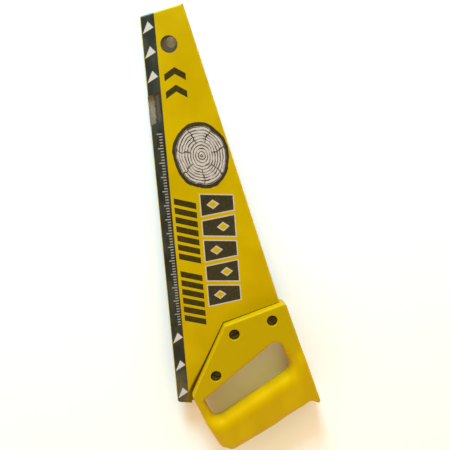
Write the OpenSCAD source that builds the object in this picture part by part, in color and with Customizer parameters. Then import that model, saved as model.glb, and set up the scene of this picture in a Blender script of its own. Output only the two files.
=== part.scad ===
// Toolbox hand saw in its card sleeve, lying flat with the printed face up.
// +X runs from the toe to the handle, +Y from the teeth to the back edge, +Z up.
// The origin is the centre of the blade's hang hole, halfway through the steel.
// Outlines are laid out from the sleeve's toe corner and moved to the origin by place().

/* [Blade] */
// Length of the row of teeth
toothed_length = 350; // [300:25:400]
// Teeth in one inch
teeth_per_inch = 8; // [6:1:10]
// Height of a tooth from gullet to tip
tooth_h = 2.4; // [1.8:0.1:3]
// Thickness of the steel
blade_t = 0.9; // [0.7:0.1:1]
// Width of the blade at the toe
toe_w = 32; // [28:1:34]
// Bore of the hang hole
hang_d = 9.5; // [6:0.5:10]

/* [Handle] */
// Thickness of the cheek that holds the blade
cheek_t = 19; // [17:1:21]
// Thickness of the grip
grip_t = 25; // [22:1:28]
// Bevel along the cheek's edges
cheek_bevel = 1.4; // [0.6:0.2:2]
// Radius on the grip's long edges
grip_round = 7; // [4:0.5:8]

/* [Handle screws] */
// Diameter of a screw or nut head
head_d = 9.8; // [8:0.2:10]
// Thickness of a head at its rim
head_rim = 1.2; // [1:0.1:1.6]
// Height of a head's dome above its rim
head_dome = 0.7; // [0.4:0.1:1]
// Depth of the head below the cheek's face
head_sink = 0.8; // [0.4:0.1:1.2]
// Outer diameter of a nut's barrel
barrel_d = 6; // [5:0.5:6.5]
// Diameter of a screw's shank
shank_d = 4; // [3:0.5:4]

/* [Card sleeve] */
// Thickness of the card
card_t = 0.45; // [0.4:0.05:0.6]
// Gap between the two card panels
card_gap = 2.2; // [2.2:0.1:2.6]
// Distance from the fold to the tips of the teeth
fold_to_teeth = 5.2; // [4:0.2:7]
// Hole in the card round the hang hole
card_hole_d = 15; // [13:0.5:16]
// Width of the glue flap
flap_w = 12; // [8:1:16]

/* [Hidden] */
$fn = 64;

STEEL = [0.62, 0.62, 0.6];
PLASTIC = [0.85, 0.69, 0.02];
FASTENER = [0.16, 0.14, 0.12];
CARD = [0.83, 0.72, 0.05];

// Clearance in the handle's slot over the steel's faces, and round its edges
slot_gap = 0.05;
slot_edge_gap = 0.3;
// Clearance round a barrel, a shank and a head
fit_gap = 0.05;
head_gap = 0.3;
// Overshoot of a cut past the face it opens
over = 1;
// Straight pieces in one rounded corner
arc_steps = 12;

// Teeth
pitch = 25.4 / teeth_per_inch;
tooth_count = floor(toothed_length / pitch);
// Share of the pitch taken by the steep face, and by the flat gullet
steep_share = 0.38;
gullet_share = 0.14;

// Toe end of the sleeve and the blade, from the sleeve's toe corner
toe_margin = 4;
toe_corner = [0, 0];
toe_back = [-9.4, 38.5];
hang_hole = [22.5, 25.3];
card_hole = [24.3, 23.2];
blade_toe_back = [-5.3, fold_to_teeth + toe_w];

// The heel end is laid out from this distance along the teeth
heel_x = toe_margin + toothed_length;
function heel(dx, y, r = 0) = [heel_x + dx, y, r];

// Back edge of the sleeve, and of the blade 2 mm inside it
sleeve_back_end = heel(-84.7, 107.2);
function back_slope() = (sleeve_back_end.y - toe_back.y) / (sleeve_back_end.x - toe_back.x);
function blade_back_y(x) = blade_toe_back.y + (x - blade_toe_back.x) * back_slope();

// Screw positions on the cheek
screws = [heel(-69, 97.5), heel(-59.5, 60.1), heel(-20.2, 39.2)];

// Handle outline, counter-clockwise from the cheek's inner corner
handle_outline = [
    heel(-69.4, 51.1, 2.5),
    heel(-2, 14.7, 3),
    heel(26, 25.5),
    heel(54.6, 37.9, 9),
    heel(60.1, 50, 8),
    heel(39.7, 94, 30),
    heel(21.9, 122.8, 6),
    heel(16.6, 131, 5.5),
    heel(21, 139.2, 1.5),
    heel(18.2, 140.5, 1.2),
    heel(-85.3, 111.8, 3.4)
];

// Hand opening, with the grip on its far side
hand_opening = [
    heel(4.4, 24.7, 3.5),
    heel(28.4, 35.7, 8),
    heel(-15.7, 116, 10),
    heel(-31.4, 109.6),
    heel(-50.4, 103.1, 8)
];

// Direction of the grip, the middle of its section and its width there
grip_angle = 118.8;
grip_middle = heel(24, 83.2);
grip_w = 38;
// Round block that carries the horn, as thick as the cheek
horn = heel(14, 133.5);
horn_r = 12;
// The cheek's flat runs this far from the grip, and its thickness grows over this much
cheek_reach = 140;
swell = 8;
swell_round = 18;
// The grip's faces fall by this much towards the outer edge
grip_fall = 1;
sweep_length = 280;

// Depth of a head's seat below the cheek's face, and the seat's height
recess = head_sink + head_rim + head_dome;
seat_z = cheek_t / 2 - recess;
// Driver slot in a head
slot_w = 1.3;
slot_depth = 1;
// Clearance between a barrel's end and the screw's seat, and below the shank's tip
barrel_short = 1.5;
shank_l = 12;

// Window in the card over the teeth
window = [[68.6, -over], [64.2, 10.6], [89.3, 10.6], [94.2, -over]];
// Thickness of the folded sleeve and of the glue flap inside it
sleeve_t = card_gap + 2 * card_t;
flap_t = 0.4;

// Points of a polygon whose corners [x, y, r] are rounded with radius r
function unit(v) = v / norm(v);
function corner_arc(a, p, b, r) =
    let (
        u = unit([a.x - p.x, a.y - p.y]),
        v = unit([b.x - p.x, b.y - p.y]),
        half = acos(u * v) / 2,
        centre = [p.x, p.y] + unit(u + v) * r / sin(half),
        start = [p.x, p.y] + u * r / tan(half) - centre,
        finish = [p.x, p.y] + v * r / tan(half) - centre,
        a0 = atan2(start.y, start.x),
        turn = atan2(start.x * finish.y - start.y * finish.x, start * finish)
    )
    [for (i = [0 : arc_steps]) centre + r * [cos(a0 + turn * i / arc_steps), sin(a0 + turn * i / arc_steps)]];
function rounded(points) =
    let (n = len(points))
    [for (i = [0 : n - 1])
        let (p = points[i])
        each (p[2] == undef || p[2] == 0)
            ? [[p.x, p.y]]
            : corner_arc(points[(i + n - 1) % n], p, points[(i + 1) % n], p[2])];

// Moves a node from the layout to its own place round the hang hole
module place() {
    translate([-hang_hole.x, -hang_hole.y, 0]) children();
}

// A flat layer of an outline, centred on the blade's middle plane
module layer(points, thickness) {
    translate([0, 0, -thickness / 2]) linear_extrude(thickness) polygon(points);
}

// One tooth: steep face towards the toe, then the long face and a flat gullet
function tooth(i) =
    let (x = toe_margin + i * pitch)
    [
        [x, fold_to_teeth + tooth_h],
        [x + pitch * steep_share, fold_to_teeth],
        [x + pitch * (1 - gullet_share), fold_to_teeth + tooth_h]
    ];

// Blade behind the teeth, grown by g on every side
function blade_body(g) = rounded([
    [blade_toe_back.x - g, blade_toe_back.y + g, 2],
    [toe_margin - g, fold_to_teeth + tooth_h - g],
    [heel_x - 0.4, fold_to_teeth + tooth_h - g],
    heel(3.5 + g, fold_to_teeth + tooth_h - g, 0.8),
    heel(6.3 + g, 19.4 + g, 1),
    heel(-0.3 + g, 22.4 + g, 3),
    [heel_x - 62 + g, blade_back_y(heel_x - 62) + g, 3]
]);

module blade() {
    color(STEEL) place() difference() {
        union() {
            layer(blade_body(0), blade_t);
            layer(concat(
                [for (i = [0 : tooth_count - 1]) each tooth(i)],
                [[toe_margin + tooth_count * pitch, fold_to_teeth + tooth_h + over],
                 [toe_margin, fold_to_teeth + tooth_h + over]]
            ), blade_t);
        }
        translate(hang_hole) cylinder(d = hang_d, h = blade_t + 2 * over, center = true);
        for (s = screws) {
            translate([s.x, s.y, 0])
                cylinder(d = barrel_d + 2 * fit_gap, h = blade_t + 2 * over, center = true);
        }
    }
}

// Section across the grip: u runs from the hand opening to the outer edge
function grip_section() =
    let (
        hw = grip_w / 2,
        ch = cheek_t / 2,
        gh = grip_t / 2
    )
    rounded([
        [-hw - cheek_reach, -ch],
        [-hw - swell, -ch],
        [-hw + swell, -gh, swell_round],
        [hw, -gh + grip_fall, grip_round],
        [hw, gh - grip_fall, grip_round],
        [-hw + swell, gh, swell_round],
        [-hw - swell, ch],
        [-hw - cheek_reach, ch]
    ]);

// Everything inside the grip's section, swept along the grip
module grip_sweep() {
    translate([grip_middle.x, grip_middle.y, 0])
        rotate([0, 0, grip_angle - 90])
            rotate([90, 0, 0])
                translate([0, 0, -sweep_length / 2])
                    linear_extrude(sweep_length) polygon(grip_section());
}

// Prism that takes the bevel off the first share of an edge from a to b, on both faces
module edge_bevel(a, b, share = 1) {
    run = [b.x - a.x, b.y - a.y] * share;
    side = cheek_bevel * sqrt(2);
    for (m = [0, 1]) mirror([0, 0, m])
        translate([a.x, a.y, cheek_t / 2])
            rotate([0, 0, atan2(run.y, run.x)])
                translate([-over, 0, 0])
                    rotate([45, 0, 0])
                        translate([0, -side / 2, -side / 2])
                            cube([norm(run) + 2 * over, side, side]);
}

module screw_hole(s) {
    translate([s.x, s.y, 0]) {
        cylinder(d = barrel_d + 2 * fit_gap, h = cheek_t + 2 * over, center = true);
        for (m = [0, 1]) mirror([0, 0, m]) {
            translate([0, 0, seat_z])
                cylinder(d = head_d + 2 * head_gap, h = recess + over);
            translate([0, 0, cheek_t / 2 - head_gap * 2])
                cylinder(d1 = head_d + 2 * head_gap, d2 = head_d + 8 * head_gap, h = head_gap * 3);
        }
    }
}

module handle() {
    corners = handle_outline;
    last = len(corners) - 1;
    color(PLASTIC) place() difference() {
        intersection() {
            layer(rounded(handle_outline), grip_t + 2 * over);
            union() {
                grip_sweep();
                translate([horn.x, horn.y, 0]) cylinder(r = horn_r, h = cheek_t, center = true);
            }
        }
        layer(rounded(hand_opening), grip_t + 4 * over);
        layer(blade_body(slot_edge_gap), blade_t + 2 * slot_gap);
        edge_bevel(corners[0], corners[1]);
        edge_bevel(corners[last], corners[0]);
        edge_bevel(corners[last], corners[last - 1], 0.5);
        for (s = screws) screw_hole(s);
    }
}

// Domed head with its rim's underside at z = 0
module head() {
    dome_r = (pow(head_d / 2, 2) + pow(head_dome, 2)) / (2 * head_dome);
    cylinder(d = head_d, h = head_rim);
    translate([0, 0, head_rim]) intersection() {
        cylinder(d = head_d, h = head_dome);
        translate([0, 0, head_dome - dome_r]) sphere(r = dome_r, $fn = 128);
    }
}

// Screw number i, driven from the front face
module screw(i) {
    color(FASTENER) place() translate([screws[i].x, screws[i].y, 0]) difference() {
        union() {
            translate([0, 0, seat_z]) head();
            translate([0, 0, seat_z - shank_l]) cylinder(d = shank_d, h = shank_l + head_rim / 2);
        }
        driver_slot();
    }
}

// Slot across a head, cut from the dome's top
module driver_slot() {
    top = seat_z + head_rim + head_dome;
    translate([-head_d, -slot_w / 2, top - slot_depth]) cube([2 * head_d, slot_w, slot_depth + over]);
}

// Sleeve nut number i, pushed in from the rear face
module nut(i) {
    color(FASTENER) place() translate([screws[i].x, screws[i].y, 0]) difference() {
        union() {
            mirror([0, 0, 1]) translate([0, 0, seat_z]) head();
            translate([0, 0, -seat_z - head_rim / 2])
                cylinder(d = barrel_d, h = 2 * seat_z + head_rim / 2 - barrel_short);
        }
        translate([0, 0, seat_z - shank_l - fit_gap - over])
            cylinder(d = shank_d + 2 * fit_gap, h = 2 * shank_l);
        mirror([0, 0, 1]) driver_slot();
    }
}

module back_screw() {
    screw(0);
}

module middle_screw() {
    screw(1);
}

module heel_screw() {
    screw(2);
}

module back_nut() {
    nut(0);
}

module middle_nut() {
    nut(1);
}

module heel_nut() {
    nut(2);
}

// Outline of the folded card, cut away round the handle
sleeve_outline = [
    toe_corner,
    toe_back,
    sleeve_back_end,
    heel(-70.5, 50.7),
    heel(-7.4, 14.5, 4),
    heel(7.4, 14.2),
    heel(4.6, 0, 4)
];

// Room inside the folded card, open at the heel end
function sleeve_room() =
    let (w = card_t)
    [
        [toe_corner.x + w, toe_corner.y + w],
        [toe_back.x + 1.3 * w, toe_back.y - w],
        [sleeve_back_end.x, sleeve_back_end.y - w * 1.03],
        [sleeve_back_end.x + 20, sleeve_back_end.y],
        heel(20, 30),
        [heel_x + 20, toe_corner.y + w]
    ];

// Strip inside the back panel that glues the blank shut along its back edge
function glue_flap() =
    let (down = unit([back_slope(), -1]) * flap_w)
    [
        toe_back + [2, 0],
        sleeve_back_end,
        sleeve_back_end + down,
        toe_back + [2, 0] + down
    ];

module card_sleeve() {
    color(CARD) place() difference() {
        union() {
            difference() {
                layer(rounded(sleeve_outline), sleeve_t);
                layer(rounded(sleeve_room()), card_gap);
            }
            intersection() {
                layer(rounded(sleeve_outline), sleeve_t);
                translate([0, 0, -card_gap / 2 - card_t / 2])
                    linear_extrude(flap_t + card_t / 2) polygon(rounded(glue_flap()));
            }
        }
        translate(card_hole) cylinder(d = card_hole_d, h = sleeve_t + 2 * over, center = true);
        translate([0, 0, -card_gap / 2]) linear_extrude(sleeve_t) polygon(window);
    }
}

blade();
handle();
back_screw();
middle_screw();
heel_screw();
back_nut();
middle_nut();
heel_nut();
card_sleeve();
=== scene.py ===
"""Looks of a toolbox hand saw in its printed card sleeve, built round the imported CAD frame.

Lengths are millimetres in the row frame and become metres when a mesh, light or camera is made.
+X runs from the toe to the handle, +Y from the teeth to the back edge, and +Z is up.
"""

import math

import bmesh
import bpy
import numpy as np
from mathutils import Matrix, Vector, noise
from mathutils.geometry import delaunay_2d_cdt


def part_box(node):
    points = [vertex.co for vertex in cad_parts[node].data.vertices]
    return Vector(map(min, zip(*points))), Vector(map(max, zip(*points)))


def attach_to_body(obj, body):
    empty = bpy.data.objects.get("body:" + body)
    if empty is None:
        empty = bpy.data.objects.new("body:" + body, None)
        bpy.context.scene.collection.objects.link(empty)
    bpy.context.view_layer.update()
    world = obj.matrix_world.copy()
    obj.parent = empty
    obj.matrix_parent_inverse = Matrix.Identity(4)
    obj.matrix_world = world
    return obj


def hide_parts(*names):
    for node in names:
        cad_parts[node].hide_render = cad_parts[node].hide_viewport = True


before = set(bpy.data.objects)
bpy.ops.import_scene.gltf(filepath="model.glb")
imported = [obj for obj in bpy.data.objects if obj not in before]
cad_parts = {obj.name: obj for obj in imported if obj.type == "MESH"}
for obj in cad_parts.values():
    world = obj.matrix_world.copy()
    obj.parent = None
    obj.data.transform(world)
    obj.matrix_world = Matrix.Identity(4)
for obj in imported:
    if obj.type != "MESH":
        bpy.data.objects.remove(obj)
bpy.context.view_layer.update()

MM = 0.001

# How close to a line, in millimetres, a point counts as lying on it
ON_LINE = 0.05


# -------- outlines taken from the CAD


def cad_loops(node, z):
    """Closed outlines of a CAD node in the plane at height z, largest first.

    The outer one runs counter-clockwise and the holes clockwise, so the material is on the left.
    """
    mesh = bmesh.new()
    mesh.from_mesh(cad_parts[node].data)
    bmesh.ops.remove_doubles(mesh, verts=mesh.verts, dist=1e-6)
    everything = mesh.verts[:] + mesh.edges[:] + mesh.faces[:]
    cut = bmesh.ops.bisect_plane(
        mesh, geom=everything, dist=1e-7, plane_co=(0, 0, z * MM), plane_no=(0, 0, 1)
    )["geom_cut"]
    links = {}
    for edge in cut:
        if isinstance(edge, bmesh.types.BMEdge):
            a, b = edge.verts
            links.setdefault(a, []).append(b)
            links.setdefault(b, []).append(a)
    loops = []
    while links:
        start = next(iter(links))
        walk, last, here = [], None, start
        while here in links:
            walk.append((here.co.x / MM, here.co.y / MM))
            onward = [v for v in links.pop(here) if v is not last and v in links]
            last = here
            here = onward[0] if onward else None
            if here is None:
                break
        loops.append(straightened(np.array(walk)))
    mesh.free()
    loops.sort(key=lambda p: -abs(area(p)))
    return [p if (area(p) > 0) == (i == 0) else p[::-1] for i, p in enumerate(loops)]


def area(p):
    q = np.roll(p, -1, axis=0)
    return 0.5 * float(np.sum(p[:, 0] * q[:, 1] - q[:, 0] * p[:, 1]))


def straightened(p, slack=0.004):
    """The loop without points that lie on the line between their neighbours."""
    keep = list(range(len(p)))
    changed = True
    while changed:
        changed = False
        for k in range(len(keep) - 1, -1, -1):
            a, b, c = p[keep[k - 1]], p[keep[k]], p[keep[(k + 1) % len(keep)]]
            span = c - a
            off = abs(span[0] * (b - a)[1] - span[1] * (b - a)[0])
            if off <= slack * max(np.hypot(*span), 1e-9) and len(keep) > 3:
                keep.pop(k)
                changed = True
    return p[keep]


def resampled(p, spacing):
    """The loop with its long edges cut at whole multiples of spacing along their main direction.

    Two loops that share a straight edge are cut at the same points of it.
    """
    out = []
    for a, b in zip(p, np.roll(p, -1, axis=0)):
        out.append(a)
        axis = int(abs(b[1] - a[1]) > abs(b[0] - a[0]))
        lo, hi = sorted((a[axis], b[axis]))
        marks = np.arange(math.ceil(lo / spacing), math.floor(hi / spacing) + 1) * spacing
        marks = marks[(marks > lo + 0.25 * spacing) & (marks < hi - 0.25 * spacing)]
        if b[axis] < a[axis]:
            marks = marks[::-1]
        out.extend(a + (b - a) * (m - a[axis]) / (b[axis] - a[axis]) for m in marks)
    return np.array(out)


def inward(p):
    """Unit normals at a loop's points, pointing into the material."""
    run = np.roll(p, -1, axis=0) - p
    run /= np.linalg.norm(run, axis=1)[:, None]
    side = np.stack([-run[:, 1], run[:, 0]], 1)
    mean = side + np.roll(side, 1, axis=0)
    return mean / np.maximum(np.sum(mean * side, axis=1), 0.2)[:, None]


def segments(loops):
    """Start and end points of every edge of the loops."""
    start = np.concatenate(loops)
    end = np.concatenate([np.roll(p, -1, axis=0) for p in loops])
    return start, end


def distances(points, start, end):
    """Distance of each point from each segment, as a points by segments table."""
    run = end - start
    square = np.maximum(np.sum(run * run, axis=1), 1e-12)
    t = np.einsum("pi,si->ps", points, run) - np.sum(start * run, axis=1)
    t = np.clip(t / square, 0, 1)
    dx = points[:, :1] - start[:, 0] - t * run[:, 0]
    dy = points[:, 1:] - start[:, 1] - t * run[:, 1]
    return np.hypot(dx, dy)


def inside(points, loops):
    """True where a point lies in the outer loop and in no hole."""
    hit = np.zeros(len(points), bool)
    x, y = points[:, 0], points[:, 1]
    for p in loops:
        for (ax, ay), (bx, by) in zip(p, np.roll(p, -1, axis=0)):
            if ay != by:
                crosses = (ay > y) != (by > y)
                hit ^= crosses & (x < ax + (y - ay) * (bx - ax) / (by - ay))
    return hit


class Region:
    """A flat region with rounded rims, filled with triangles.

    radius_of(points) gives the rim radius along the loops, where 0 is a plain cut edge.
    """

    def __init__(self, loops, spacing, radius_of, rim_steps=7):
        self.loops = loops
        self.start, self.end = segments(loops)
        self.radius = radius_of((self.start + self.end) / 2)
        rings = []
        for p in loops:
            reach, normal = radius_of(p), inward(p)
            for k in range(1, rim_steps + 1):
                depth = reach * (1 - math.cos(0.5 * math.pi * k / rim_steps))
                ring = (p + normal * depth[:, None])[depth > 0.02]
                if len(ring):
                    near = distances(ring, self.start, self.end).min(axis=1)
                    kept = inside(ring, loops) & (near > 0.93 * depth[depth > 0.02])
                    rings.append(ring[kept])
        rings = np.concatenate(rings) if rings else np.zeros((0, 2))
        low, high = loops[0].min(0), loops[0].max(0)
        nx = np.arange(math.floor(low[0] / spacing), math.ceil(high[0] / spacing) + 1)
        ny = np.arange(math.floor(low[1] / spacing), math.ceil(high[1] / spacing) + 1)
        gx, gy = np.meshgrid(nx, ny)
        grid = np.stack([(gx + 0.5 * (gy % 2)).ravel(), gy.ravel()], 1) * spacing
        grid = grid[inside(grid, loops)]
        table = distances(grid, self.start, self.end)
        clear = (table > self.radius[None] * 0.97 + 0.001).all(1) & (table.min(1) > 0.45 * spacing)
        grid = grid[clear]
        rim = np.concatenate(loops)
        points = np.concatenate([rim, rings, grid])
        edges, first = [], 0
        for p in loops:
            n = len(p)
            edges += [(first + i, first + (i + 1) % n) for i in range(n)]
            first += n
        made = delaunay_2d_cdt([Vector(q) for q in points], edges, [], 0, 1e-6)
        self.points = np.array([tuple(v) for v in made[0]])
        where = {}
        for new, old in enumerate(made[3]):
            for k in old:
                where[k] = new
        self.rims, first = [], 0
        for p in loops:
            self.rims.append([where[first + i] for i in range(len(p))])
            first += len(p)
        self.faces = self.enclosed([tuple(f) for f in made[2]])

    def enclosed(self, triangles):
        """The triangles that the rims enclose, found by spreading from one that is inside."""
        fence = {frozenset(e) for rim in self.rims for e in zip(rim, rim[1:] + rim[:1])}
        beside = {}
        for k, (a, b, c) in enumerate(triangles):
            for edge in (frozenset((a, b)), frozenset((b, c)), frozenset((c, a))):
                beside.setdefault(edge, []).append(k)
        corners = self.points[np.array(triangles)]
        size = np.abs(np.cross(corners[:, 1] - corners[:, 0], corners[:, 2] - corners[:, 0]))
        size[~inside(corners.mean(axis=1), self.loops)] = 0
        found = {int(np.argmax(size))}
        waiting = list(found)
        while waiting:
            a, b, c = triangles[waiting.pop()]
            for edge in (frozenset((a, b)), frozenset((b, c)), frozenset((c, a))):
                if edge not in fence:
                    fresh = [k for k in beside[edge] if k not in found]
                    found.update(fresh)
                    waiting.extend(fresh)
        return [triangles[k] for k in sorted(found)]

    def drop(self):
        """How far the rounded rims take each point below the region's top."""
        worst = np.zeros(len(self.points))
        for i in range(0, len(self.points), 4000):
            block = distances(self.points[i : i + 4000], self.start, self.end)
            short = np.clip(self.radius[None] - block, 0, None)
            fall = self.radius[None] - np.sqrt(np.maximum(self.radius[None] ** 2 - short**2, 0))
            worst[i : i + 4000] = fall.max(1)
        return worst


def smoothstep(v, low, high):
    t = np.clip((v - low) / (high - low), 0, 1)
    return t * t * (3 - 2 * t)


def new_object(name, points, faces, *materials):
    """A mesh object in the scene, from points in millimetres."""
    mesh = bpy.data.meshes.new(name)
    mesh.from_pydata([tuple(float(c) * MM for c in p) for p in points], [], faces)
    for material in materials:
        mesh.materials.append(material)
    obj = bpy.data.objects.new(name, mesh)
    bpy.context.scene.collection.objects.link(obj)
    return obj


def weld(mesh, distance, turn_outward):
    """Joins points that are closer than distance, and turns the faces outward if asked."""
    build = bmesh.new()
    build.from_mesh(mesh)
    bmesh.ops.remove_doubles(build, verts=build.verts, dist=distance * MM)
    if turn_outward:
        bmesh.ops.recalc_face_normals(build, faces=build.faces)
    build.to_mesh(mesh)
    build.free()


def attach(obj, body, node):
    """Puts a piece on its body, in place of a CAD node."""
    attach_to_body(obj, body)
    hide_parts(node)


def saw_piece(name, points, faces, material, node):
    """A smooth-shaded closed piece of the saw itself."""
    obj = new_object(name, points, faces, material)
    weld(obj.data, 0.002, True)
    finish_shading(obj.data)
    attach(obj, "saw", node)
    return obj


def finish_shading(mesh, sharp_deg=38):
    """Smooth faces, with a crease wherever two of them meet at more than sharp_deg."""
    mesh.polygons.foreach_set("use_smooth", [True] * len(mesh.polygons))
    mesh.set_sharp_from_angle(angle=math.radians(sharp_deg))
    mesh.update()


def apply_modifiers(obj, sharp_deg=38):
    """Replaces the piece's mesh with its evaluated one."""
    graph = bpy.context.evaluated_depsgraph_get()
    mesh = bpy.data.meshes.new_from_object(obj.evaluated_get(graph), depsgraph=graph)
    obj.modifiers.clear()
    obj.data = mesh
    finish_shading(mesh, sharp_deg)


# -------- material building


class Value:
    """A number that varies over a surface, made of Math nodes as it is computed with."""

    def __init__(self, tree, socket):
        self.tree, self.socket = tree, socket

    def op(self, name, *others):
        node = self.tree.nodes.new("ShaderNodeMath")
        node.operation = name
        for slot, term in zip(node.inputs, (self, *others)):
            if isinstance(term, Value):
                self.tree.links.new(term.socket, slot)
            else:
                slot.default_value = term
        return Value(self.tree, node.outputs[0])

    def __add__(self, o):
        return self.op("ADD", o)

    def __sub__(self, o):
        return self.op("SUBTRACT", o)

    def __mul__(self, o):
        return self.op("MULTIPLY", o)

    def __truediv__(self, o):
        return self.op("DIVIDE", o)

    def __neg__(self):
        return self * -1.0

    def __rsub__(self, o):
        return -self + o

    __radd__ = __add__

    def abs(self):
        return self.op("ABSOLUTE")

    def min(self, o):
        return self.op("MINIMUM", o)

    def max(self, o):
        return self.op("MAXIMUM", o)

    def step(self, low, high, out_low=0.0, out_high=1.0):
        """Runs smoothly from out_low to out_high as the value goes from low to high."""
        node = self.tree.nodes.new("ShaderNodeMapRange")
        node.interpolation_type = "SMOOTHSTEP"
        self.tree.links.new(self.socket, node.inputs["Value"])
        for key, number in zip(
            ("From Min", "From Max", "To Min", "To Max"), (low, high, out_low, out_high)
        ):
            node.inputs[key].default_value = number
        return Value(self.tree, node.outputs[0])


class Paint:
    """A Principled material under construction, with row coordinates in millimetres."""

    def __init__(self, name):
        self.material = bpy.data.materials.new(name)
        self.material.use_nodes = True
        self.tree = self.material.node_tree
        self.shader = self.tree.nodes["Principled BSDF"]
        coords = self.tree.nodes.new("ShaderNodeTexCoord")
        scaled = self.tree.nodes.new("ShaderNodeVectorMath")
        scaled.operation = "SCALE"
        scaled.inputs["Scale"].default_value = 1 / MM
        self.tree.links.new(coords.outputs["Object"], scaled.inputs[0])
        self.position = scaled.outputs[0]
        split = self.tree.nodes.new("ShaderNodeSeparateXYZ")
        self.tree.links.new(self.position, split.inputs[0])
        self.x, self.y, self.z = (Value(self.tree, s) for s in split.outputs)

    def put(self, key, value):
        slot = self.shader.inputs[key]
        if isinstance(value, Value):
            self.tree.links.new(value.socket, slot)
        elif isinstance(value, bpy.types.NodeSocket):
            self.tree.links.new(value, slot)
        else:
            slot.default_value = value

    def noise(self, period, detail=3.0, stretch=(1, 1, 1), roughness=0.5):
        """Noise whose blotches are about period millimetres across, from 0 to 1."""
        shape = self.tree.nodes.new("ShaderNodeVectorMath")
        shape.operation = "MULTIPLY"
        shape.inputs[1].default_value = stretch
        self.tree.links.new(self.position, shape.inputs[0])
        node = self.tree.nodes.new("ShaderNodeTexNoise")
        node.inputs["Scale"].default_value = 1 / period
        node.inputs["Detail"].default_value = detail
        node.inputs["Roughness"].default_value = roughness
        self.tree.links.new(shape.outputs[0], node.inputs["Vector"])
        return Value(self.tree, node.outputs["Fac"])

    def mix(self, below, above, share):
        """Colour below where share is 0 and above where it is 1."""
        node = self.tree.nodes.new("ShaderNodeMix")
        node.data_type = "RGBA"
        slots = (node.inputs[0], node.inputs[6], node.inputs[7])
        for slot, term in zip(slots, (share, below, above)):
            if isinstance(term, Value):
                self.tree.links.new(term.socket, slot)
            elif isinstance(term, bpy.types.NodeSocket):
                self.tree.links.new(term, slot)
            else:
                slot.default_value = term
        return node.outputs[2]

    def bump(self, height, depth):
        """Bumps of the given depth in millimetres, from a height between 0 and 1."""
        node = self.tree.nodes.new("ShaderNodeBump")
        node.inputs["Strength"].default_value = 1.0
        node.inputs["Distance"].default_value = depth * MM
        self.tree.links.new(height.socket, node.inputs["Height"])
        self.put("Normal", node.outputs[0])


def rgb(*parts):
    """A display colour, each part from 0 to 255, as the linear colour a shader takes."""
    shares = [part / 255 for part in parts]
    linear = [c / 12.92 if c <= 0.04045 else ((c + 0.055) / 1.055) ** 2.4 for c in shares]
    return (*linear, 1.0)


# -------- places read off the frame


def box_mm(node):
    """Lowest and highest corner of a CAD node in millimetres."""
    low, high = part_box(node)
    return np.array(low) / MM, np.array(high) / MM


sleeve_low, sleeve_high = box_mm("card_sleeve")
handle_low, handle_high = box_mm("handle")
blade_half = box_mm("blade")[1][2]
sleeve_half = sleeve_high[2]
grip_half = handle_high[2]

# The print on the card is laid out from the fold line, and from the sleeve's corner at the toe
PANEL_DEPTH = 0.2
fold_y = sleeve_low[1]
front_card = cad_loops("card_sleeve", sleeve_half - PANEL_DEPTH)
back_card = cad_loops("card_sleeve", PANEL_DEPTH - sleeve_half)
toe_x = front_card[0][np.argmin(front_card[0].sum(axis=1))][0]

# Handle outlines: between the slot and the screw seats, and above the seats
BARREL_LEVEL = 3.0
RECESS_LEVEL = 7.6
CHEEK_LENGTH = 60.0
handle_plan = cad_loops("handle", BARREL_LEVEL)
handle_face = cad_loops("handle", RECESS_LEVEL)
handle_vertices = np.array([tuple(v.co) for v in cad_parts["handle"].data.vertices]) / MM
on_cheek = handle_vertices[:, 0] < handle_low[0] + CHEEK_LENGTH
cheek_half = handle_vertices[on_cheek, 2].max()

# The straight side of the hand opening that is nearest the outer edge runs along the grip
opening = handle_plan[1]
runs = np.roll(opening, -1, axis=0) - opening
longest = np.argsort(-np.hypot(*runs.T))[:2]
grip_side = max(longest, key=lambda i: opening[i][0] + opening[(i + 1) % len(opening)][0])
grip_start = opening[grip_side]
grip_along = runs[grip_side] / np.hypot(*runs[grip_side])
grip_out = np.array([grip_along[1], -grip_along[0]])
if grip_out[0] < 0:
    grip_out = -grip_out

SEAT_Z = 6.8
SCREW_NAMES = ("back", "middle", "heel")
screw_boxes = [box_mm(name + "_screw") for name in SCREW_NAMES]
screw_places = [(low[:2] + high[:2]) / 2 for low, high in screw_boxes]


def across_grip(points):
    """Distance of points beyond the hand opening's grip side, towards the outer edge."""
    return (np.asarray(points) - grip_start) @ grip_out


def along_grip(points):
    """Distance of points along the grip, from the horn's end towards the heel."""
    return (np.asarray(points) - grip_start) @ grip_along


# -------- handle

# Radii of the rounded edges
CHEEK_EDGE = 2.0
OPENING_EDGE = 3.6
GRIP_INNER_EDGE = 11.6
GRIP_OUTER_EDGE = 7.6
RECESS_EDGE = 0.7
RECESS_REACH = 6.0

# The grip's section. It rises to its crown and then falls slightly to the outer edge
GRIP_WIDTH = 38.0
GRIP_RISE = (-16.0, 0.0)
GRIP_CROWN = 10.0
GRIP_PROUD = 0.1
GRIP_FALL = 1.0

# Where the edges change radius, across the grip and along it
OUTER_CHANGE = (-12.0, 24.0)
HORN_CHANGE = (-4.0, 28.0)
INNER_CHANGE = (-26.0, -0.5)

# The parting line of the mould: heights, and how far it stands out
PARTING_LINE = ((0.28, 0.0), (0.0, 0.12), (-0.28, 0.0))


def handle_top(points):
    """Height of the handle's upper face before its edges are rounded."""
    v = across_grip(points)
    rise = smoothstep(v, *GRIP_RISE)
    fall = np.clip((v - GRIP_CROWN) / (GRIP_WIDTH - GRIP_CROWN), 0, 1)
    return cheek_half + (grip_half + GRIP_PROUD - cheek_half) * rise - GRIP_FALL * fall


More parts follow.
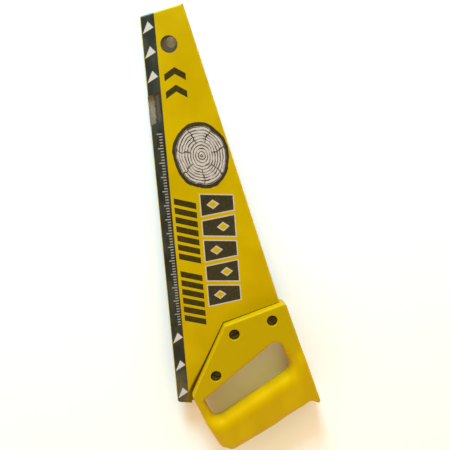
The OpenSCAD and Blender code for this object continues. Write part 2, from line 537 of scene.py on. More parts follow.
def handle_rim(points):
    """Radius of the handle's rounded edge at points of its outlines."""
    points = np.asarray(points)
    v = across_grip(points)
    w = along_grip(points)
    share = smoothstep(v, *OUTER_CHANGE) * smoothstep(w, *HORN_CHANGE)
    outer = CHEEK_EDGE + (GRIP_OUTER_EDGE - CHEEK_EDGE) * share
    hole = OPENING_EDGE + (GRIP_INNER_EDGE - OPENING_EDGE) * smoothstep(v, *INNER_CHANGE)
    start, end = segments([opening])
    on_opening = distances(points, start, end).min(axis=1) < ON_LINE
    radius = np.where(on_opening, hole, outer)
    for place in screw_places:
        radius[np.hypot(*(points - place).T) < RECESS_REACH] = RECESS_EDGE
    return radius


def bridge(lower, upper):
    """Quads between two closed rings of point numbers."""
    n = len(lower)
    return [(lower[i], lower[(i + 1) % n], upper[(i + 1) % n], upper[i]) for i in range(n)]


def ring_at(points, ring, place, radius, z):
    """Adds a copy of a ring of points moved to a radius and a height; returns its point numbers."""
    made = list(range(len(points), len(points) + len(ring)))
    for i in ring:
        away = np.array(points[i][:2]) - place
        points.append((*(place + away * (radius / np.hypot(*away))), z))
    return made


def parting_rings(points, rim, outline):
    """Adds the rings of points of the parting line that runs round a rim at mid-thickness."""
    rings = []
    outward = -inward(outline)
    for height, proud in PARTING_LINE:
        rings.append(list(range(len(points), len(points) + len(rim))))
        points.extend((*(p + n * proud), height) for p, n in zip(outline, outward))
    return rings


def build_handle(material):
    """The moulding: two mirrored faces joined round its outline, its opening and its screw holes."""
    loops = [resampled(p, 2.0) for p in handle_plan[:2]]
    loops += [resampled(p, 1.0) for p in handle_face[2:]]
    face = Region(loops, 1.5, handle_rim)
    z = handle_top(face.points) - face.drop()
    count = len(face.points)
    points = [(x, y, h) for (x, y), h in zip(face.points, z)]
    points += [(x, y, -h) for (x, y), h in zip(face.points, z)]
    faces = list(face.faces)
    faces += [tuple(i + count for i in reversed(f)) for f in face.faces]
    barrel_r = min(np.hypot(*(handle_plan[2][0] - place)) for place in screw_places)
    for index, rim in enumerate(face.rims):
        outline = face.points[rim]
        if index < 2:
            rings = parting_rings(points, rim, outline)
        else:
            middle = outline.mean(axis=0)
            place = min(screw_places, key=lambda p: np.hypot(*(p - middle)))
            head_r = np.hypot(*(outline[0] - place))
            steps = ((head_r, SEAT_Z), (barrel_r, SEAT_Z), (barrel_r, -SEAT_Z), (head_r, -SEAT_Z))
            rings = [ring_at(points, rim, place, r, height) for r, height in steps]
        rings = [rim, *rings, [i + count for i in rim]]
        for a, b in zip(rings, rings[1:]):
            faces += bridge(a, b)
    handle = saw_piece("handle_shell", points, faces, material, "handle")
    cut_blade_slot(handle)


def subtract(obj, points, faces):
    """Cuts a closed shape, given in millimetres, out of a piece."""
    cutter = new_object("cutter", points, faces)
    cut = obj.modifiers.new("cut", "BOOLEAN")
    cut.operation = "DIFFERENCE"
    cut.solver = "EXACT"
    cut.object = cutter
    apply_modifiers(obj)
    bpy.data.objects.remove(cutter)


def prism(outline, low, high):
    """Points and faces of a flat slab between two heights."""
    n = len(outline)
    points = [(x, y, z) for z in (low, high) for x, y in outline]
    faces = [tuple(reversed(range(n))), tuple(range(n, 2 * n))]
    faces += bridge(list(range(n)), list(range(n, 2 * n)))
    return points, faces


SLOT_GAP = 0.3
SLOT_CLEAR = 0.05
SLOT_REACH = 20.0


def cut_blade_slot(handle):
    """Cuts the slot that the blade's heel end sits in, a little wider than the steel."""
    steel = cad_loops("blade", 0.0)[0]
    heel = steel[steel[:, 0] > handle_low[0] - SLOT_REACH]
    first = np.argmax(np.hypot(*(heel - np.roll(heel, 1, axis=0)).T))
    heel = np.roll(heel, -first, axis=0)
    half = blade_half + SLOT_CLEAR
    subtract(handle, *prism(heel - inward(heel) * SLOT_GAP, -half, half))


# -------- blade

TOOTH_HEIGHT = 2.4
TOOTH_SET = 0.26
TOOTH_BEVEL = 0.18
BLADE_SPACING = 12.0


def build_blade(material):
    """The steel, with teeth set alternately to each side and bevelled on their outer flanks."""
    loops = cad_loops("blade", 0.0)
    gullet_y = loops[0][:, 1].min() + TOOTH_HEIGHT
    loops = [resampled(loops[0], BLADE_SPACING)] + loops[1:]
    sheet = Region(loops, BLADE_SPACING, lambda p: np.zeros(len(p)))
    outer = sheet.rims[0]
    outline = sheet.points[outer]
    tips = np.flatnonzero(outline[:, 1] < gullet_y - 0.9 * TOOTH_HEIGHT)
    tips = tips[np.argsort(outline[tips, 0])]
    front, back = sheet.points.copy(), sheet.points.copy()
    bend = np.zeros(len(sheet.points))
    flank_run = abs(outline[(tips[0] + 1) % len(outline), 0] - outline[tips[0] - 1, 0])
    tip_rise = 2 * TOOTH_BEVEL * TOOTH_HEIGHT / flank_run
    for k, tip in enumerate(tips):
        ground = back if k % 2 else front
        bend[outer[tip]] = TOOTH_SET if k % 2 else -TOOTH_SET
        ground[outer[tip], 1] += tip_rise
        for side in (-1, 1):
            root = outer[(tip + side) % len(outer)]
            inwards = np.sign(sheet.points[outer[tip], 0] - sheet.points[root, 0])
            if abs(sheet.points[root, 1] - gullet_y) < 0.01:
                ground[root, 0] += inwards * TOOTH_BEVEL
    count = len(sheet.points)
    points = [(x, y, blade_half + b) for (x, y), b in zip(front, bend)]
    points += [(x, y, b - blade_half) for (x, y), b in zip(back, bend)]
    faces = sheet.faces + [tuple(i + count for i in reversed(f)) for f in sheet.faces]
    for rim in sheet.rims:
        faces += bridge(rim, [i + count for i in rim])
    saw_piece("saw_blade", points, faces, material, "blade")


# -------- screws and nuts

HEAD_RIM = 1.2
HEAD_DOME = 0.7
HEAD_ROUND = 0.3
DRIVER_SLOT = (1.3, 1.0)
SLOT_HALF_LENGTH = 9.0
SCREW_TURNS = (0.5, 1.9, 1.2)
NUT_TURNS = (2.4, 0.9, 0.2)
SHANK_R = 2.0
SHANK_POINT = 0.5
THREAD_PITCH = 1.4
THREAD_DEPTH = 0.2
THREAD_STEP = 0.14
PLAIN_SHANK = 3.0
BARREL_R = 3.0
BORE_R = 2.05
BORE_SPARE = 1.05
DRILL_POINT = 0.8
BARREL_CHAMFER = 0.3
TURN_STEPS = 48


def turned(node, profile, place, material, thread=None):
    """Spins a profile of (radius, height) points round an upright axis.

    The first and last points lie on the axis. Points between the heights of thread wander in
    and out as a screw thread does.
    """
    points, rings = [], []
    for radius, z in profile:
        steps = TURN_STEPS if radius else 1
        rings.append(list(range(len(points), len(points) + steps)))
        for k in range(steps):
            turn = k / TURN_STEPS
            r = radius
            if thread and thread[0] < z < thread[1]:
                phase = (z / THREAD_PITCH - turn) % 1
                fade = min(1, (z - thread[0]) / THREAD_PITCH, (thread[1] - z) / THREAD_PITCH)
                r -= THREAD_DEPTH * fade * abs(2 * phase - 1)
            angle = 2 * math.pi * turn
            points.append((place[0] + r * math.cos(angle), place[1] + r * math.sin(angle), z))
    faces = []
    for a, b in zip(rings, rings[1:]):
        if len(a) == 1:
            faces += [(a[0], b[(k + 1) % TURN_STEPS], b[k]) for k in range(TURN_STEPS)]
        elif len(b) == 1:
            faces += [(b[0], a[k], a[(k + 1) % TURN_STEPS]) for k in range(TURN_STEPS)]
        else:
            faces += bridge(a, b)
    return saw_piece(node + "_metal", points, faces, material, node)


def head_profile(radius):
    """Half section of a domed head, from the middle of its top to the rim's underside."""
    top = SEAT_Z + HEAD_RIM + HEAD_DOME
    dome_r = (radius**2 + HEAD_DOME**2) / (2 * HEAD_DOME)
    reach = radius - HEAD_ROUND
    section = [(0, top)]
    for k in range(1, 9):
        r = reach * k / 8
        section.append((r, top - dome_r + math.sqrt(dome_r**2 - r**2)))
    edge_z = section[-1][1] - HEAD_ROUND
    for k in range(1, 5):
        angle = 0.5 * math.pi * k / 4
        section.append((reach + HEAD_ROUND * math.sin(angle), edge_z + HEAD_ROUND * math.cos(angle)))
    return section + [(radius, SEAT_Z)]


def cut_driver_slot(fastener, place, side, turn):
    """Cuts the driver slot across a head; side is 1 on the front face and -1 on the rear."""
    top = SEAT_Z + HEAD_RIM + HEAD_DOME
    width, depth = DRIVER_SLOT
    along = np.array([math.cos(turn), math.sin(turn)])
    across = np.array([-along[1], along[0]])
    corners = [
        place + a * SLOT_HALF_LENGTH * along + b * 0.5 * width * across
        for a, b in ((-1, -1), (1, -1), (1, 1), (-1, 1))
    ]
    low, high = sorted((side * (top - depth), side * (top + 1)))
    subtract(fastener, *prism(corners, low, high))


def build_screw(index, material):
    """A slotted screw from the front face, with a threaded shank that stands in its nut."""
    name = SCREW_NAMES[index] + "_screw"
    low, high = screw_boxes[index]
    place = screw_places[index]
    tip_z = low[2]
    section = head_profile((high[0] - low[0]) / 2) + [(SHANK_R, SEAT_Z)]
    steps = int((SEAT_Z - tip_z) / THREAD_STEP) - 5
    section += [(SHANK_R, SEAT_Z - SHANK_POINT - THREAD_STEP * k) for k in range(steps)]
    section += [(SHANK_R - SHANK_POINT, tip_z), (0, tip_z)]
    thread = (tip_z, SEAT_Z - PLAIN_SHANK)
    screw = turned(name, section, place, material, thread)
    cut_driver_slot(screw, place, 1, SCREW_TURNS[index])


def build_nut(index, material):
    """A sleeve nut from the rear face: a slotted head and a barrel with a drilled bore."""
    name = SCREW_NAMES[index] + "_nut"
    low, high = box_mm(name)
    place = screw_places[index]
    end_z = high[2]
    blind_z = screw_boxes[index][0][2] - BORE_SPARE
    section = [(r, -z) for r, z in head_profile((high[0] - low[0]) / 2)]
    section += [
        (BARREL_R, -SEAT_Z),
        (BARREL_R, end_z - BARREL_CHAMFER),
        (BARREL_R - BARREL_CHAMFER, end_z),
        (BORE_R + BARREL_CHAMFER, end_z),
        (BORE_R, end_z - BARREL_CHAMFER),
        (BORE_R, blind_z),
        (0, blind_z - DRILL_POINT),
    ]
    nut = turned(name, section, place, material)
    cut_driver_slot(nut, place, -1, NUT_TURNS[index])


# -------- card sleeve

CARD = 0.45
CARD_SPACING = 4.0
FLAP_WIDTH = 12.0
FLAP_Z = 1.13
FLAP_START = 2.0
FLAP_TAPER = 3.0
BACK_EDGE_GAP = 1.1
LONG_EDGE = 12.0
FOLD_STEPS = (0.1, 0.3, 0.6, 1.0, 1.5, 2.2)
WAVE_HEIGHT = 0.16
WAVE_LENGTH = 60.0
WAVE_WIDTH = 34.0
WAVE_PLACE = 3.1


def nicked(p):
    """The loop with extra points close to the ends of its long edges, where a fold rounds off."""
    out = []
    for a, b in zip(p, np.roll(p, -1, axis=0)):
        out.append(a)
        length = np.hypot(*(b - a))
        if length > LONG_EDGE:
            out += [a + (b - a) * d / length for d in FOLD_STEPS]
            out += [b + (a - b) * d / length for d in reversed(FOLD_STEPS)]
    return np.array(out)


# The ends of the toe's fold and the back edge's end at the heel
back_panel = back_card[0]
fold_toe = back_panel[np.argmin(np.hypot(*(back_panel - (toe_x, fold_y)).T))]
back_toe = back_panel[np.argmin(back_panel[:, 0])]
back_heel = back_panel[np.argmax(back_panel[:, 1])]
back_line = (back_heel - back_toe) / np.hypot(*(back_heel - back_toe))
back_normal = np.array([-back_line[1], back_line[0]])
toe_line = (back_toe - fold_toe) / np.hypot(*(back_toe - fold_toe))
toe_normal = np.array([-toe_line[1], toe_line[0]])


def near_fold(points):
    """Which of the card's folds each point lies on: teeth side, toe and back edge."""
    points = np.asarray(points)
    teeth = np.abs(points[:, 1] - fold_y) < ON_LINE
    toe = np.abs((points - fold_toe) @ toe_normal) < ON_LINE
    back = np.abs((points - back_toe) @ back_normal) < ON_LINE
    return teeth, toe, back


def warp(points):
    """Slow waves in the card, in millimetres: it is never quite flat."""
    places = [Vector((x / WAVE_LENGTH, y / WAVE_WIDTH, WAVE_PLACE)) for x, y in points]
    return np.array([WAVE_HEIGHT * noise.noise(place) for place in places])


def build_sleeve(printed, plain, raw):
    """The folded blank: front panel, back panel and glue flap, thickened to the board inwards."""
    flap_fold = (sleeve_half + FLAP_Z) / 2

    def front_rim(points):
        teeth, toe, back = near_fold(points)
        return np.where(teeth | toe, sleeve_half, np.where(back, flap_fold, 0.0))

    def back_rim(points):
        teeth, toe, _ = near_fold(points)
        return np.where(teeth | toe, sleeve_half, 0.0)

    def flap_rim(points):
        return np.where(near_fold(points)[2], flap_fold, 0.0)

    points, faces = [], []

    def add(sheet, side, top):
        fall = sheet.drop()
        wave = warp(sheet.points) * smoothstep(top - fall, top - 0.3, top)
        first = len(points)
        points.extend(
            (x, y, side * (top - f) + w) for (x, y), f, w in zip(sheet.points, fall, wave)
        )
        order = (0, 1, 2) if side > 0 else (0, 2, 1)
        faces.extend(tuple(f[k] + first for k in order) for f in sheet.faces)

    def card_region(loops, rim):
        return Region([resampled(nicked(p), CARD_SPACING) for p in loops], CARD_SPACING, rim)

    add(card_region(front_card, front_rim), 1, sleeve_half)

    outline = back_panel.copy()
    outline[near_fold(outline)[2]] -= back_normal * BACK_EDGE_GAP
    corner = int(np.argmin(outline[:, 0]))
    outline[corner] = back_toe - toe_line * BACK_EDGE_GAP / abs(toe_line @ back_normal)
    add(card_region([outline] + back_card[1:], back_rim), -1, sleeve_half)

    start, end = back_toe + back_line * FLAP_START, back_heel
    taper, depth = back_line * FLAP_TAPER, back_normal * FLAP_WIDTH
    flap = np.array([end, start, start + taper - depth, end - taper - depth])
    add(card_region([flap], flap_rim), -1, FLAP_Z)

    sleeve = new_object("sleeve_card", points, faces, printed, plain, raw)
    weld(sleeve.data, 0.02, False)
    board = sleeve.modifiers.new("board", "SOLIDIFY")
    board.thickness = CARD * MM
    board.offset = -1
    board.use_quality_normals = True
    board.material_offset = 1
    board.material_offset_rim = 2
    apply_modifiers(sleeve, 50)
    attach(sleeve, "sleeve", "card_sleeve")


# -------- materials

YELLOW = rgb(176, 140, 0)
YELLOW_LIGHT = rgb(183, 148, 0)
YELLOW_SHEEN = (1.0, 0.84, 0.03, 1.0)


def handle_material():
    """Moulded yellow plastic with a fine grain, faint flow marks and scuffs, deeper on the cheeks."""
    paint = Paint("handle_plastic")
    flow = paint.noise(46, 2, (1, 2.2, 1))
    grain = paint.noise(0.55, 2)
    scuff = paint.noise(7, 5, (1, 0.35, 1), 0.72).step(0.60, 0.72)
    across = (paint.x - grip_start[0]) * grip_out[0] + (paint.y - grip_start[1]) * grip_out[1]
    base = paint.mix(YELLOW, YELLOW_LIGHT, flow.step(0.35, 0.65))
    base = paint.mix(rgb(168, 139, 0), base, across.step(-34.0, 2.0))
    base = paint.mix(base, rgb(164, 125, 2), scuff * 0.35)
    paint.put("Base Color", base)
    paint.put("Roughness", scuff.step(0, 1, 0.45, 0.60) + grain * 0.06)
    paint.put("Specular IOR Level", 0.42)
    paint.put("Specular Tint", YELLOW_SHEEN)
    paint.put("Subsurface Weight", 0.08)
    paint.put("Subsurface Radius", (0.004, 0.003, 0.0005))
    paint.put("Subsurface Scale", 0.6)
    paint.bump(grain * 0.6 + flow * 0.4 - scuff * 0.3, 0.03)
    return paint.material


def steel_material():
    """Brushed steel, dark along the hardened teeth and blotched with oil, with painted yellow-brown
    shade towards the handle.
    """
    paint = Paint("blade_steel")
    brushed = paint.noise(0.35, 3, (0.02, 1, 1), 0.6)
    blotch = paint.noise(17, 4, (0.6, 1, 1), 0.6)
    up = paint.y - fold_y
    base = paint.mix(rgb(98, 92, 78), rgb(120, 113, 97), brushed.step(0.3, 0.7))
    base = paint.mix(base, rgb(96, 80, 60), blotch.step(0.52, 0.75) * 0.5)
    hardened = (up + blotch * 1.6).step(8.4, 9.8, 1.0, 0.0)
    base = paint.mix(base, rgb(66, 58, 54), hardened)
    # Painted shade: yellow-brown towards the handle, for the shadow and the handle's yellow
    # reflection in the gap beside it
    base = paint.mix(base, rgb(112, 82, 16), (paint.x - toe_x).step(200.0, 320.0) * 0.85)
    paint.put("Base Color", base)
    paint.put("Metallic", hardened * -0.65 + 0.85)
    paint.put("Roughness", brushed.step(0.2, 0.8, 0.34, 0.5) + blotch * 0.08 + hardened * 0.2)
    paint.put("Anisotropic", 0.5)
    paint.bump(brushed, 0.012)
    return paint.material


def fastener_material():
    """Dark painted metal, mottled lighter in patches, its dark brown tinted yellow as a painted
    reflection of the handle round it.
    """
    paint = Paint("fastener_black")
    mottle = paint.noise(1.6, 4, roughness=0.65)
    fine = paint.noise(0.3, 2)
    # Painted reflection: the low blue in both browns stands in for the yellow handle reflected in the
    # heads
    base = paint.mix(rgb(44, 33, 2), rgb(66, 53, 14), mottle.step(0.35, 0.75))
    paint.put("Base Color", base)
    paint.put("Metallic", 0.25)
    paint.put("Specular Tint", (1.0, 0.85, 0.4, 1.0))
    paint.put("Roughness", mottle.step(0.3, 0.7, 0.32, 0.52))
    paint.bump(fine * 0.5 + mottle * 0.5, 0.02)
    return paint.material


def plain_card_material():
    """The unprinted inner face of the board: grey-beige with visible fibres."""
    paint = Paint("sleeve_card_plain")
    fibre = paint.noise(0.9, 5, (0.25, 1, 1), 0.7)
    cloud = paint.noise(14, 3)
    base = paint.mix(rgb(125, 111, 90), rgb(148, 133, 111), fibre.step(0.35, 0.65))
    base = paint.mix(base, rgb(118, 104, 83), cloud.step(0.5, 0.75) * 0.5)
    paint.put("Base Color", base)
    paint.put("Roughness", fibre.step(0, 1, 0.85, 0.95))
    paint.put("Specular IOR Level", 0.2)
    paint.bump(fibre, 0.05)
    return paint.material


def raw_card_material():
    """The cut edge of the board, in thin grey and brown layers."""
    paint = Paint("sleeve_card_edge")
    ply = paint.noise(0.12, 2, (0.05, 0.05, 1), 0.6)
    wear = paint.noise(3, 3)
    base = paint.mix(rgb(150, 132, 98), rgb(188, 168, 128), ply.step(0.3, 0.7))
    base = paint.mix(base, YELLOW, wear.step(0.4, 0.6) * 0.3)
    paint.put("Base Color", base)
    paint.put("Roughness", 0.9)
    paint.put("Specular IOR Level", 0.2)
    paint.bump(ply, 0.05)
    return paint.material


# The print. Every mark is a signed distance in millimetres, negative inside it. x runs along the
# saw from the sleeve's corner at the toe, and y across it from the fold at the teeth.

PRINT_SOFTNESS = 0.24
BAND_START = 0.7
BAND_EDGE = (12.5, 11.5)
BAND_LENGTH = 360.0

# Rows of marks along the saw: the start, the spacing and the count
TOE_ARROWS = (4.4, 20.85, 3)
HEEL_ARROWS = (288.6, 28.0, 3)
RULE = (100.0, 2.6, 70)
CHEVRONS = (43.0, 15.2, 2)
TOE_STROKES = (159.5, 8.6, 7)
HEEL_STROKES = (228.3, 8.6, 6)
BLOCKS = (158.0, 21.7, 5)

ARROW = ((0, 6.5), (5.2, 11.1), (10.4, 1.3))
RULE_TOP = (9.8, 10.6)
RULE_MARK = (0.85, 1.75)
RULE_SHORT = 2.9
RULE_LONG = 4.9
CHEVRON_Y = (16.5, 35.5)
CHEVRON_X = (1.0, 7.0)
CHEVRON_SLOPE = 0.62
STROKES_Y = (14.6, 34.8)
STROKE_X = (0.5, 6.3)
STROKE_SLANT = 0.317
BLOCK_Y = (39.2, 69.4)
BLOCK_HALF = 8.3
BLOCK_FLARE = 0.11
BLOCK_OUTLINE = 0.95
LOZENGE_SHIFT = 4.0
LOZENGE_SIZE = 3.6
LOG_CENTRE = (123.5, 43.5)
LOG_AXES = (30.5, 25.5)
LOG_TURN = math.radians(12.0)
LOG_BARK = 0.885
LOG_RINGS = 11.0
CUT_END = (346.6, 14.5)
CUT_ANGLE = math.radians(-29.8)


def inked(distance):
    """1 inside a mark and 0 outside it, with a soft printed edge."""
    return distance.step(-PRINT_SOFTNESS, PRINT_SOFTNESS, 1.0, 0.0)


def between(value, low, high):
    """Distance of a value from a range."""
    return (value - (low + high) / 2).abs() - (high - low) / 2


def repeated(x, start, spacing, count):
    """Position inside the repeat, and the distance from the whole run of repeats."""
    local = (x - start).op("FLOORED_MODULO", spacing)
    return local, between(x, start, start + spacing * count)


def arrows(x, y, row):
    """A row of slanting pointed arrows."""
    local, mark = repeated(x, *row)
    middle = np.mean(ARROW, axis=0)
    for (ax, ay), (bx, by) in zip(ARROW, ARROW[1:] + ARROW[:1]):
        length = math.hypot(bx - ax, by - ay)
        nx, ny = (by - ay) / length, (ax - bx) / length
        if (middle[0] - ax) * nx + (middle[1] - ay) * ny > 0:
            nx, ny = -nx, -ny
        mark = mark.max((local - ax) * nx + (y - ay) * ny)
    return mark


def rule_marks(x, y):
    """A row of rule marks, every fifth one long."""
    start, spacing, count = RULE
    local, outside = repeated(x, *RULE)
    fifth, _ = repeated(x, start, 5 * spacing, count // 5)
    slope = (RULE_TOP[1] - RULE_TOP[0]) / (spacing * count)
    depth = (x - start) * slope + RULE_TOP[0] - y
    short = between(depth, 0.0, RULE_SHORT)
    long = between(fifth, 0.0, spacing).max(between(depth, 0.0, RULE_LONG))
    return between(local, *RULE_MARK).max(short.min(long)).max(outside)


def chevrons(x, y):
    """Bars across the saw, bent in the middle."""
    local, outside = repeated(x, *CHEVRONS)
    bent = local - (y - sum(CHEVRON_Y) / 2).abs() * CHEVRON_SLOPE
    return between(bent, *CHEVRON_X).max(between(y, *CHEVRON_Y)).max(outside)


def strokes(x, y):
    """Two runs of slanted strokes, like saw cuts."""
    slanted = x - (y - STROKES_Y[0]) * STROKE_SLANT
    runs = []
    for row in (TOE_STROKES, HEEL_STROKES):
        local, outside = repeated(slanted, *row)
        runs.append(between(local, *STROKE_X).max(outside))
    return runs[0].min(runs[1]).max(between(y, *STROKES_Y))


def dovetail_blocks(x, y):
    """Tapered timber blocks turned end for end by turns, each with a lozenge cut out of it.

    Gives the blocks and the outline round them.
    """
    start, spacing, _ = BLOCKS
    local, outside = repeated(x, *BLOCKS)
    turn = ((x - start) / spacing).op("FLOOR").op("FLOORED_MODULO", 2.0) * 2 - 1
    rise = y - sum(BLOCK_Y) / 2
    centred = (local - spacing / 2).abs()
    tail = (centred - rise * turn * BLOCK_FLARE - BLOCK_HALF).max(between(y, *BLOCK_Y))
    lozenge = centred * 0.8 + (rise - turn * LOZENGE_SHIFT).abs() * 0.6 - LOZENGE_SIZE
    block = tail.max(-lozenge).max(outside)
    return block, (block - BLOCK_OUTLINE).max(outside)


def log_end(paint, x, y):
    """The sawn end of a log: the whole of it, the wood inside its bark, and the rings and cracks."""
    across, up = x - LOG_CENTRE[0], y - LOG_CENTRE[1]
    u = (across * math.cos(LOG_TURN) + up * math.sin(LOG_TURN)) / LOG_AXES[0]
    v = (up * math.cos(LOG_TURN) - across * math.sin(LOG_TURN)) / LOG_AXES[1]
    wobble = paint.noise(19, 2) * 0.16 + paint.noise(4.2, 2) * 0.05
    radius = (u * u + v * v).op("SQRT") + wobble - 0.1
    size = sum(LOG_AXES) / 2
    ring = (radius * LOG_RINGS).op("FRACT")
    width = paint.noise(7, 2).step(0.3, 0.7, 0.16, 0.42)
    rings = ((ring - 0.5).abs() - width * 0.5) * (size / LOG_RINGS)
    angle = v.op("ARCTAN2", u)
    crack = (angle * 3.5 + paint.noise(9, 2) * 1.6).op("SINE").abs() * radius * 9.0 - 0.55
    crack = crack.max((radius - 0.42) * -size).max((radius - 0.9) * size)
    return (radius - 1.0) * size, (radius - LOG_BARK) * size, rings.min(crack)


def card_material():
    """Printed board: yellow, a black band along the teeth, and plain timber-yard graphics."""
    paint = Paint("sleeve_card_print")
    x, y = paint.x - toe_x, paint.y - fold_y
    front = paint.z.step(-0.3, 0.1)
    cloud = paint.noise(52, 3)
    fibre = paint.noise(0.8, 4, (0.5, 1, 1), 0.65)
    speck = paint.noise(2.3, 3)
    band_sheen = paint.noise(13, 4, (0.5, 1, 1), 0.6)
    dark = paint.mix(rgb(42, 36, 14), rgb(54, 46, 24), speck.step(0.4, 0.7))
    white = paint.mix(rgb(186, 172, 162), rgb(168, 154, 142), speck.step(0.4, 0.7))
    base = paint.mix(rgb(176, 142, 0), rgb(184, 151, 0), cloud.step(0.35, 0.65))
    base = paint.mix(rgb(196, 182, 134), base, y.step(0.3, 0.9))

    # Black band on both faces, with painted grey-green reflection in patches and lighter patches
    # towards the heel, with arrows and a rule on the front
    band_edge = x * ((BAND_EDGE[1] - BAND_EDGE[0]) / BAND_LENGTH) + BAND_EDGE[0]
    band = inked((BAND_START - y).max(y - band_edge))
    # Painted reflection: grey-green patches on the black ink stand in for its gloss reflecting the
    # room
    band_ink = paint.mix(rgb(22, 24, 18), rgb(48, 49, 38), band_sheen.step(0.38, 0.66))
    band_ink = paint.mix(band_ink, rgb(92, 84, 56), x.step(322.0, 346.0) * band_sheen.step(0.35, 0.7))
    base = paint.mix(base, band_ink, band)
    arrow_ink = inked(arrows(x, y, TOE_ARROWS).min(arrows(x, y, HEEL_ARROWS)))
    base = paint.mix(base, rgb(188, 178, 168), arrow_ink * front)
    base = paint.mix(base, rgb(170, 160, 150), inked(rule_marks(x, y)) * front * 0.75)

    # Graphics on the front
    block, outline = dovetail_blocks(x, y)
    log, wood, grain = log_end(paint, x, y)
    base = paint.mix(base, dark, inked(chevrons(x, y).min(strokes(x, y))) * front)
    base = paint.mix(base, white, inked(outline) * front)
    base = paint.mix(base, dark, inked(block) * front)
    base = paint.mix(base, dark, inked(log) * front)
    base = paint.mix(base, white, inked(wood) * front)
    base = paint.mix(base, dark, inked(grain) * inked(wood) * front)

    # Worn folds and the toe corner show the board
    from_x, from_y = paint.x - back_toe[0], paint.y - back_toe[1]
    corner = (from_x * from_x + from_y * from_y).op("SQRT")
    rub = (corner + speck * 1.6).step(2.0, 3.2, 1.0, 0.0)
    base = paint.mix(base, rgb(112, 84, 34), rub)
    back_fold = (from_x * back_normal[0] + from_y * back_normal[1]).abs()
    fold = (y - 0.25).abs().min(back_fold)
    crease = fold.step(0.1, 1.1, 1.0, 0.0) * fibre.step(0.5, 0.68)
    base = paint.mix(base, rgb(206, 190, 96), crease * 0.5)

    # Painted shadow: a brown band along the cut in front of the handle's lower corner, where the gap
    # to the handle widens
    from_cut = (x - CUT_END[0]) * math.sin(CUT_ANGLE) - (y - CUT_END[1]) * math.cos(CUT_ANGLE)
    painted_shadow = from_cut.step(0.2, 1.9, 1.0, 0.0) * x.step(318.0, 344.0)
    base = paint.mix(base, rgb(96, 70, 4), painted_shadow)

    paint.put("Base Color", base)
    paint.put("Roughness", cloud.step(0.3, 0.7, 0.36, 0.46) + crease * 0.25)
    paint.put("Specular IOR Level", 0.5)
    ink = band.max(inked(block)).max(inked(log))
    paint.put("Specular Tint", paint.mix(YELLOW_SHEEN, (0.95, 0.95, 0.8, 1), ink))
    paint.bump(fibre * 0.5 + cloud, 0.05)
    return paint.material


def floor_material():
    """Pale paper-like sheet, seen only from above so that the saw's rear can be looked at."""
    paint = Paint("floor_sheet")
    fleck = paint.noise(3.0, 4)
    paint.put("Base Color", paint.mix(rgb(243, 240, 236), rgb(247, 245, 241), fleck))
    paint.put("Roughness", 0.7)
    paint.put("Specular IOR Level", 0.3)
    paint.bump(fleck, 0.02)
    tree = paint.tree
    sides = tree.nodes.new("ShaderNodeMixShader")
    seen_from = tree.nodes.new("ShaderNodeNewGeometry")
    tree.links.new(seen_from.outputs["Backfacing"], sides.inputs[0])
    tree.links.new(paint.shader.outputs[0], sides.inputs[1])
    tree.links.new(tree.nodes.new("ShaderNodeBsdfTransparent").outputs[0], sides.inputs[2])
    tree.links.new(sides.outputs[0], tree.nodes["Material Output"].inputs["Surface"])
    return paint.material


# -------- stage


CAMERA_PLACE = Vector((95.9, -13.75, 462.0))
CAMERA_TARGET = Vector((167.0, 34.95, 0.0))
CAMERA_UP = Vector((-1.0, 0.0783, 0.0))
LENS = 40
SENSOR = 36

LAMP_PLACE = Vector((-1676.0, -292.0, 749.0))
LAMP_TARGET = Vector((150.0, 30.0, 0.0))
LAMP_SIDE = 600.0
LAMP_WATTS = 78.0
LAMP_COLOUR = (0.28, 0.71, 1.0)

TOE_CLEAR = 1.6
GRIP_CLEAR = 0.15
FLOOR_REACH = 30000.0

# The surround glows in soft patches, each facing a side and fading out round one of the heights:
# the side, the height's place in SKY_HEIGHTS and the glow
SKY_HEIGHTS = (0.0, 0.3, 0.6, 1.0)
SKY = (
    ((-1, 0), 0, (4.3, 1.7, 1.0)),
    ((-1, 0), 1, (4.1, 1.2, 2.0)),
    ((-1, 0), 2, (2.3, 2.2, 0.7)),
    ((1, 0), 1, (3.2, 2.6, 2.0)),
    ((1, 0), 2, (2.2, 1.7, 1.1)),
    ((0, 1), 1, (3.2, 2.8, 2.1)),
    ((0, -1), 1, (3.4, 2.7, 2.2)),
)
WALL = 0.93


def build_camera():
    """Camera above the toe half, tilted towards the handle, with the toe at the picture's top."""
    forward = (CAMERA_TARGET - CAMERA_PLACE).normalized()
    right = forward.cross(CAMERA_UP).normalized()
    up = right.cross(forward)
    turn = Matrix((right, up, -forward)).transposed().to_4x4()
    lens = bpy.data.cameras.new("camera")
    lens.lens = LENS
    lens.sensor_width = SENSOR
    camera = bpy.data.objects.new("camera", lens)
    camera.matrix_world = Matrix.Translation(CAMERA_PLACE * MM) @ turn
    bpy.context.scene.collection.objects.link(camera)
    bpy.context.scene.camera = camera


def build_lamp():
    """A soft cool lamp, low beyond the toe."""
    data = bpy.data.lights.new("key", "AREA")
    data.size = LAMP_SIDE * MM
    data.energy = LAMP_WATTS
    data.color = LAMP_COLOUR
    lamp = bpy.data.objects.new("key", data)
    lamp.location = LAMP_PLACE * MM
    aim = (LAMP_TARGET - LAMP_PLACE).normalized()
    lamp.rotation_euler = aim.to_track_quat("-Z", "Y").to_euler()
    bpy.context.scene.collection.objects.link(lamp)


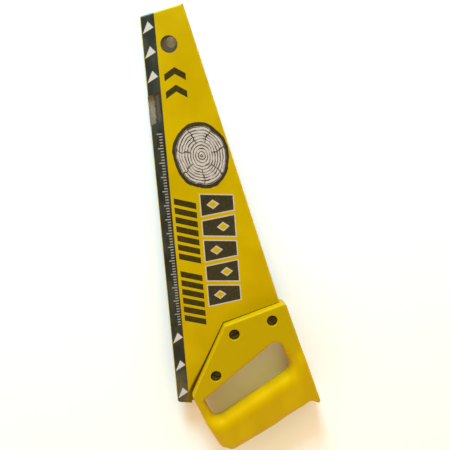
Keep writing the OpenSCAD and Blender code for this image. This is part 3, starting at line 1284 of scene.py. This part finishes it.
def build_floor():
    """A sheet that is level beyond the toe and falls towards the handle, just below the saw."""
    toe_z = -sleeve_half - TOE_CLEAR
    reach = handle_vertices[:, 0] - sleeve_low[0]
    fall = ((toe_z + GRIP_CLEAR - handle_vertices[:, 2]) / reach).max()
    far_z = toe_z - fall * (FLOOR_REACH - sleeve_low[0])
    profile = ((-FLOOR_REACH, toe_z), (sleeve_low[0], toe_z), (FLOOR_REACH, far_z))
    corners = [(x, y, z) for x, z in profile for y in (-FLOOR_REACH, FLOOR_REACH)]
    new_object("floor", corners, [(0, 2, 3, 1), (2, 4, 5, 3)], floor_material())


def sky_patch(x, y, z, side, step):
    """1 in the middle of a patch of sky, and 0 at the heights next to its own and on other sides."""
    patch = (z - SKY_HEIGHTS[step + 1]) / (SKY_HEIGHTS[step] - SKY_HEIGHTS[step + 1])
    if step:
        lower = SKY_HEIGHTS[step - 1]
        patch = patch.min((z - lower) / (SKY_HEIGHTS[step] - lower))
    facing = (x * side[0] + y * side[1]).max(0.0)
    return patch.min(1.0).max(0.0) * (facing * facing / (x * x + y * y).max(1e-6))


def build_surround():
    """A studio with a dark top, warm and bright low down, whose walls look plain and pale."""
    world = bpy.data.worlds.new("surround")
    world.use_nodes = True
    tree = world.node_tree
    split = tree.nodes.new("ShaderNodeSeparateXYZ")
    tree.links.new(tree.nodes.new("ShaderNodeTexCoord").outputs["Generated"], split.inputs[0])
    x, y, z = (Value(tree, s) for s in split.outputs)
    patches = [(sky_patch(x, y, z, side, step), colour) for side, step, colour in SKY]
    seen = Value(tree, tree.nodes.new("ShaderNodeLightPath").outputs["Is Camera Ray"])
    mixed = tree.nodes.new("ShaderNodeCombineColor")
    for channel, slot in enumerate(mixed.inputs):
        glow = sum(patch * colour[channel] for patch, colour in patches)
        tree.links.new((glow * (1 - seen) + seen * WALL).socket, slot)
    tree.links.new(mixed.outputs[0], tree.nodes["Background"].inputs["Color"])
    bpy.context.scene.world = world


# -------- the saw on its stage

fastener_paint = fastener_material()
build_handle(handle_material())
build_blade(steel_material())
for screw_number in range(len(SCREW_NAMES)):
    build_screw(screw_number, fastener_paint)
    build_nut(screw_number, fastener_paint)
build_sleeve(card_material(), plain_card_material(), raw_card_material())

build_floor()
build_surround()
build_lamp()
build_camera()
bpy.context.scene.view_settings.view_transform = "Standard"
